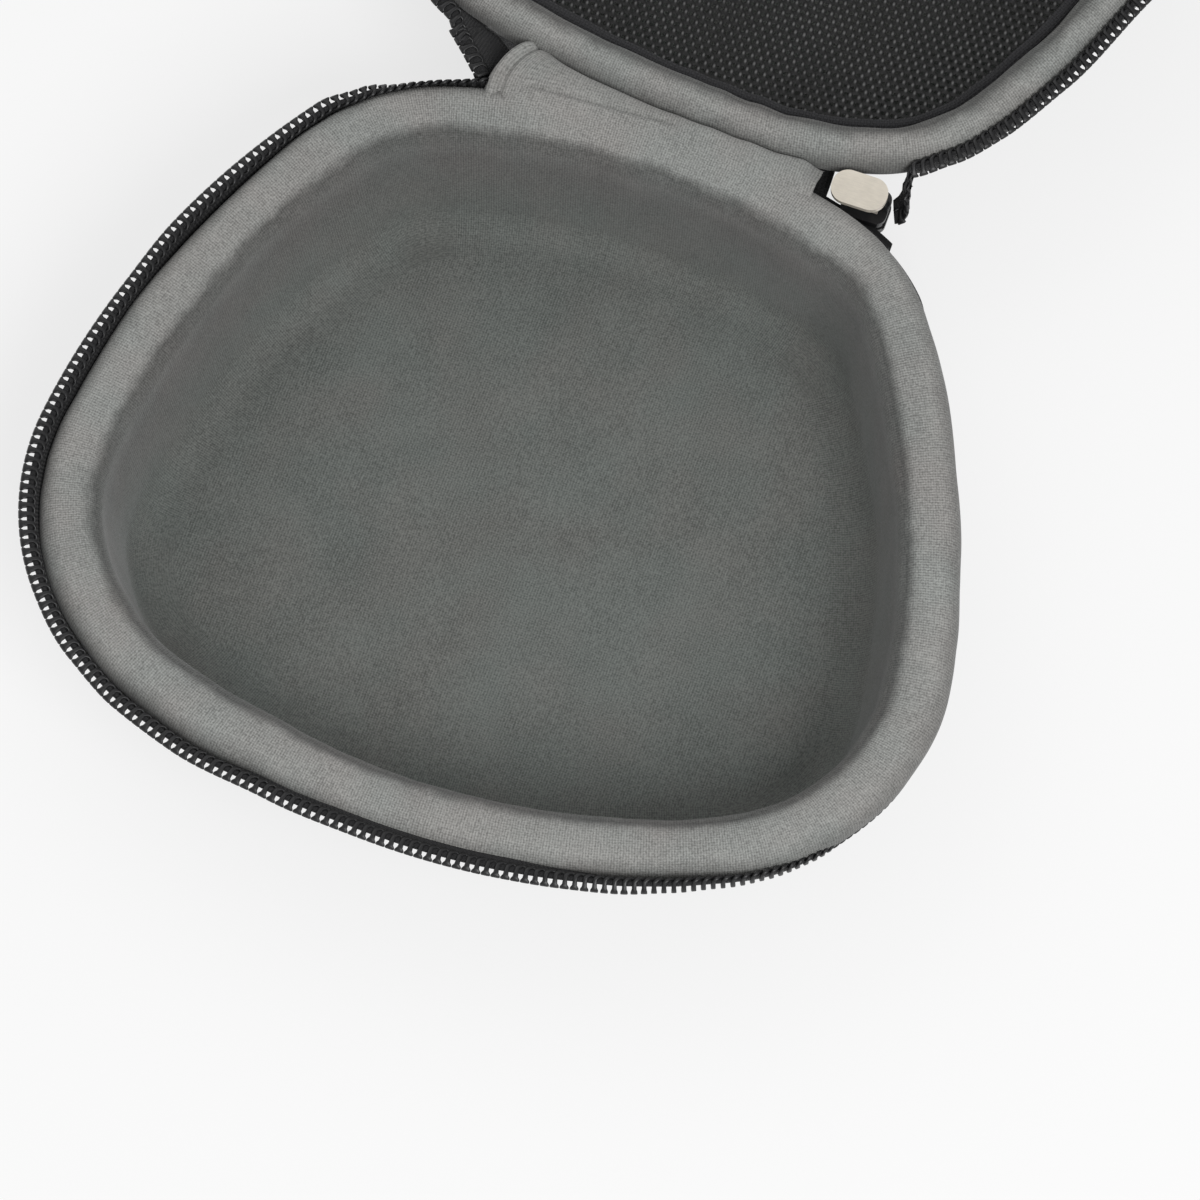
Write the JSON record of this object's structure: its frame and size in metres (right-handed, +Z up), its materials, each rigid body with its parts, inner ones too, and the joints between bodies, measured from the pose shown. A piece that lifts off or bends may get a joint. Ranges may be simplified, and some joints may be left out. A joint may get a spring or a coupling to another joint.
{
  "type": "controller carrying case",
  "caption": "Zippered hard-shell carrying case, opened flat: padded rim, soft lining, coil zip round both halves, cloth hinge and a net pocket in the lid.",
  "frame": {"origin": "on the surface that the open case lies on, under the middle of the base half", "axes": "+Z up, +Y from the base half across the hinge to the lid half, +X along the hinge to the zip slider's end"},
  "size_m": [0.1888, 0.3253, 0.037],
  "materials": {
    "shell_cloth": "black woven polyester laminated on moulded foam",
    "lining_tricot": "grey brushed tricot",
    "zip_tape": "black woven zip tape",
    "zip_coil": "black nylon coil",
    "hinge_cloth": "black woven tape",
    "gusset_tricot": "grey brushed tricot",
    "slider_enamel": "black enamelled die casting",
    "pull_metal": "pale champagne satin metal",
    "net_cord": "black knitted net",
    "binding_elastic": "black ribbed elastic"
  },
  "bodies": {
    "base": {"base_shell": "shell_cloth", "base_lining": "lining_tricot", "base_zip_tape": "zip_tape", "base_zip_coil": "zip_coil", "hinge_web": "hinge_cloth", "zip_end_right": "zip_tape", "slider": "slider_enamel"},
    "lid": {"lid_shell": "shell_cloth", "lid_lining": "lining_tricot", "lid_zip_tape": "zip_tape", "lid_zip_coil": "zip_coil", "hinge_gusset": "gusset_tricot", "zip_end_left": "zip_tape", "lid_net": "net_cord", "net_binding": "binding_elastic"},
    "pull": {"pull_tab": "pull_metal"}
  },
  "joints": [
    {"name": "lid_hinge", "type": "hinge", "parent": "base", "child": "lid", "pos_m": [0, 0.08285, 0.03715], "axis": [1, 0, 0], "range_deg": [0, 180]},
    {"name": "pull_swing", "type": "hinge", "parent": "base", "child": "pull", "pos_m": [0.0449, 0.08135, 0.0304], "axis": [0, 1, 0], "range_deg": [0, 90]}
  ]
}
